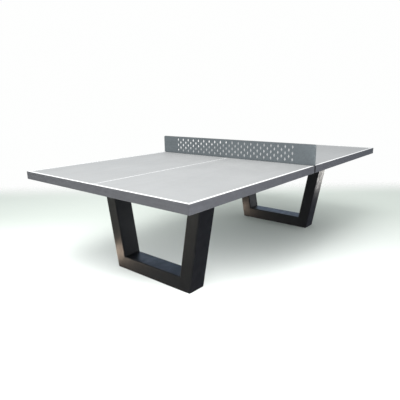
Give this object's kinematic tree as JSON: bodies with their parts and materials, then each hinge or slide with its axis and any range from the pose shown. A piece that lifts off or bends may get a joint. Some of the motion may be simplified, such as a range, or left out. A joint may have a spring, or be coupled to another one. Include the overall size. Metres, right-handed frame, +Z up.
{
  "type": "ping pong table",
  "caption": "Fixed outdoor table for table tennis: two framed playing halves on box-section leg frames, with a perforated steel net.",
  "frame": {"origin": "on the ground, below the middle of the net, at the centre of the whole table", "axes": "+X along the table towards half b, +Y across the table towards its left side, +Z up from the ground"},
  "size_m": [2.74, 1.525, 0.9125],
  "materials": {
    "playing_surface": "fine-textured laminate board, satin",
    "line_paint": "white marking paint, satin",
    "apron_paint": "satin powder coat",
    "leg_paint": "satin powder coat",
    "bearer_paint": "satin powder coat",
    "net_paint": "satin powder coat",
    "zinc": "zinc plated"
  },
  "bodies": {
    "root": {"cross_bearer_inner_a": "bearer_paint", "cross_bearer_inner_b": "bearer_paint", "cross_bearer_outer_a": "bearer_paint", "cross_bearer_outer_b": "bearer_paint", "end_rail_a": "apron_paint", "end_rail_b": "apron_paint", "foot_beam_a": "leg_paint", "foot_beam_b": "leg_paint", "ground_bushes_a": "zinc", "ground_bushes_b": "zinc", "join_bolts": "zinc", "join_nuts": "zinc", "join_sleeves": "zinc", "join_washers": "zinc", "left_rail_a": "apron_paint", "left_rail_b": "apron_paint", "leg_bolts_a": "zinc", "leg_bolts_b": "zinc", "leg_bosses_a": "zinc", "leg_bosses_b": "zinc", "leg_plate_left_a": "leg_paint", "leg_plate_left_b": "leg_paint", "leg_plate_right_a": "leg_paint", "leg_plate_right_b": "leg_paint", "leg_post_left_a": "leg_paint", "leg_post_left_b": "leg_paint", "leg_post_right_a": "leg_paint", "leg_post_right_b": "leg_paint", "leg_washers_a": "zinc", "leg_washers_b": "zinc", "long_bearer_inner_left_a": "bearer_paint", "long_bearer_inner_left_b": "bearer_paint", "long_bearer_inner_middle_a": "bearer_paint", "long_bearer_inner_middle_b": "bearer_paint", "long_bearer_inner_right_a": "bearer_paint", "long_bearer_inner_right_b": "bearer_paint", "long_bearer_outer_left_a": "bearer_paint", "long_bearer_outer_left_b": "bearer_paint", "long_bearer_outer_middle_a": "bearer_paint", "long_bearer_outer_middle_b": "bearer_paint", "long_bearer_outer_right_a": "bearer_paint", "long_bearer_outer_right_b": "bearer_paint", "net_plate": "net_paint", "net_rail_a": "apron_paint", "net_rail_b": "apron_paint", "net_spacers": "zinc", "panel_screws_a": "zinc", "panel_screws_b": "zinc", "playing_panel_a": "playing_surface", "playing_panel_b": "playing_surface", "right_rail_a": "apron_paint", "right_rail_b": "apron_paint"}
  },
  "joints": []
}
